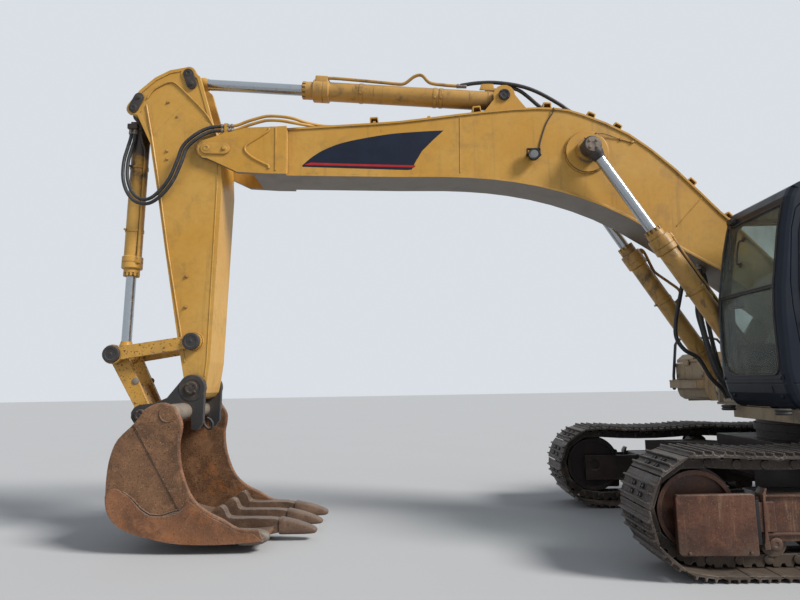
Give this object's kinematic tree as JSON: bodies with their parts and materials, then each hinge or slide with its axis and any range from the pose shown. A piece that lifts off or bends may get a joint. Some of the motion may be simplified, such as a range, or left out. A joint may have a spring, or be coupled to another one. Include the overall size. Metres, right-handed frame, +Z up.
{
  "type": "crawler excavator",
  "caption": "Tracked digger with a swinging cab and engine deck, a boom, a stick, a quick coupler and a wide toothed bucket, all worked by cylinders.",
  "frame": {"origin": "centre of the machine's box in plan, on the ground under its tracks", "axes": "+X forward along the tracks, +Y to the operator's left, +Z up"},
  "size_m": [10.5929, 3.19, 4.813],
  "materials": {
    "track_steel": "worn, rusty",
    "frame_steel": "worn, rusty",
    "yellow_paint": "weathered gloss",
    "black_paint": "satin",
    "cast_weight": "painted",
    "chrome_rod": "polished",
    "bucket_steel": "rusty",
    "tooth_steel": "worn",
    "window_glass": "clear",
    "interior_plastic": "matt",
    "hose_rubber": "matt",
    "lamp_black": "matt",
    "engine_iron": "matt"
  },
  "bodies": {
    "undercarriage": {"carbody": "frame_steel", "track_frames": "frame_steel", "track_left": "track_steel", "track_right": "track_steel", "track_rollers": "frame_steel", "idlers": "frame_steel", "final_drives": "frame_steel"},
    "house": {"upper_frame": "yellow_paint", "swing_bearing": "frame_steel", "counterweight": "cast_weight", "lifting_lugs": "frame_steel", "engine_block": "engine_iron", "rear_cowl": "yellow_paint", "cab_shell": "black_paint", "cab_glass": "window_glass", "cab_interior": "interior_plastic", "fuel_tank": "yellow_paint", "hydraulic_tank": "yellow_paint", "radiator_housing": "yellow_paint", "pump_housing": "yellow_paint", "toolbox": "yellow_paint", "handrails": "black_paint", "exhaust_stack": "black_paint"},
    "cab_door": {"cab_door": "black_paint", "door_glass": "window_glass"},
    "engine_hood": {"engine_hood": "yellow_paint"},
    "radiator_door": {"radiator_door": "yellow_paint"},
    "pump_door": {"pump_door": "yellow_paint"},
    "toolbox_lid": {"toolbox_lid": "yellow_paint"},
    "boom": {"boom": "yellow_paint", "boom_lines": "yellow_paint", "work_lamp": "lamp_black"},
    "boom_barrels": {"boom_cylinder_barrels": "yellow_paint"},
    "boom_rods": {"boom_cylinder_rods": "chrome_rod"},
    "stick_barrel": {"stick_cylinder_barrel": "yellow_paint"},
    "stick_rod": {"stick_cylinder_rod": "chrome_rod"},
    "stick": {"stick": "yellow_paint", "tip_hoses": "hose_rubber"},
    "bucket_barrel": {"bucket_cylinder_barrel": "yellow_paint"},
    "bucket_rod": {"bucket_cylinder_rod": "chrome_rod"},
    "guide": {"guide_links": "yellow_paint"},
    "link": {"power_link": "yellow_paint"},
    "bucket": {"quick_coupler": "black_paint", "bucket": "bucket_steel", "bucket_teeth": "tooth_steel"}
  },
  "joints": [
    {"name": "swing", "type": "hinge", "parent": "undercarriage", "child": "house", "pos_m": [-1.7965, 0, 1], "axis": [0, 0, 1], "continuous": true},
    {"name": "boom_lift", "type": "hinge", "parent": "house", "child": "boom", "pos_m": [-1.5965, 0, 2.1], "axis": [0, 1, 0], "range_deg": [-39, 44]},
    {"name": "boom_barrel_tilt", "type": "hinge", "parent": "house", "child": "boom_barrels", "pos_m": [-1.0815, 0, 1.35], "axis": [0, 1, 0], "range_deg": [-34.87, 39.31]},
    {"name": "boom_rod_slide", "type": "slide", "parent": "boom_barrels", "child": "boom_rods", "axis": [0.5296, 0, 0.8482], "range_m": [-0.627, 0.556]},
    {"name": "stick_swing", "type": "hinge", "parent": "boom", "child": "stick", "pos_m": [4.3235, 0, 3.881], "axis": [0, -1, 0], "range_deg": [-43, 78], "deforming": ["tip_hoses"]},
    {"name": "stick_barrel_tilt", "type": "hinge", "parent": "boom", "child": "stick_barrel", "pos_m": [1.2325, 0, 4.443], "axis": [0, -1, 0], "range_deg": [-0.85, 1.31]},
    {"name": "stick_rod_slide", "type": "slide", "parent": "stick_barrel", "child": "stick_rod", "axis": [0.9962, 0, 0.0869], "range_m": [-1.017, 0.561]},
    {"name": "bucket_turn", "type": "hinge", "parent": "stick", "child": "bucket", "pos_m": [4.4035, 0, 1.45], "axis": [0, -1, 0], "range_deg": [-55, 80]},
    {"name": "guide_tilt", "type": "hinge", "parent": "stick", "child": "guide", "pos_m": [4.4185, 0, 1.903], "axis": [0, -1, 0], "range_deg": [-41.89, 60.79]},
    {"name": "power_link_tilt", "type": "hinge", "parent": "guide", "child": "link", "pos_m": [5.2015, 0, 1.792], "axis": [0, -1, 0], "range_deg": [-43.5, 30]},
    {"name": "bucket_barrel_tilt", "type": "hinge", "parent": "stick", "child": "bucket_barrel", "pos_m": [5.1215, 0, 4.365], "axis": [0, -1, 0], "range_deg": [-1.04, 0.81]},
    {"name": "bucket_rod_slide", "type": "slide", "parent": "bucket_barrel", "child": "bucket_rod", "axis": [0.0311, 0, -0.9995], "range_m": [-0.719, 0.495]},
    {"name": "cab_door_swing", "type": "hinge", "parent": "house", "child": "cab_door", "pos_m": [-1.6055, 1.465, 1.5], "axis": [0, 0, 1], "range_deg": [0, 150]},
    {"name": "radiator_door_swing", "type": "hinge", "parent": "house", "child": "radiator_door", "pos_m": [-3.2855, 1.485, 1.7], "axis": [0, 0, 1], "range_deg": [0, 110]},
    {"name": "pump_door_swing", "type": "hinge", "parent": "house", "child": "pump_door", "pos_m": [-4.0055, -1.485, 1.7], "axis": [0, 0, -1], "range_deg": [0, 110]},
    {"name": "engine_hood_tilt", "type": "hinge", "parent": "house", "child": "engine_hood", "pos_m": [-3.1115, 0, 2.255], "axis": [0, 1, 0], "range_deg": [0, 60]},
    {"name": "toolbox_lid_tilt", "type": "hinge", "parent": "house", "child": "toolbox_lid", "pos_m": [-1.5615, -1.09, 1.655], "axis": [0, -1, 0], "range_deg": [0, 80]}
  ],
  "couplings": [
    {"joint": "boom_barrel_tilt", "follows": "boom_lift", "ratio": 0.8865},
    {"joint": "boom_rod_slide", "follows": "boom_lift", "m_per_rad": -0.8148},
    {"joint": "stick_barrel_tilt", "follows": "stick_swing", "ratio": 0.0129},
    {"joint": "stick_rod_slide", "follows": "stick_swing", "m_per_rad": -0.746},
    {"joint": "guide_tilt", "follows": "bucket_turn", "ratio": 0.7561},
    {"joint": "power_link_tilt", "follows": "bucket_turn", "ratio": -0.54},
    {"joint": "bucket_barrel_tilt", "follows": "bucket_turn", "ratio": -0.0092},
    {"joint": "bucket_rod_slide", "follows": "bucket_turn", "m_per_rad": -0.5137}
  ]
}
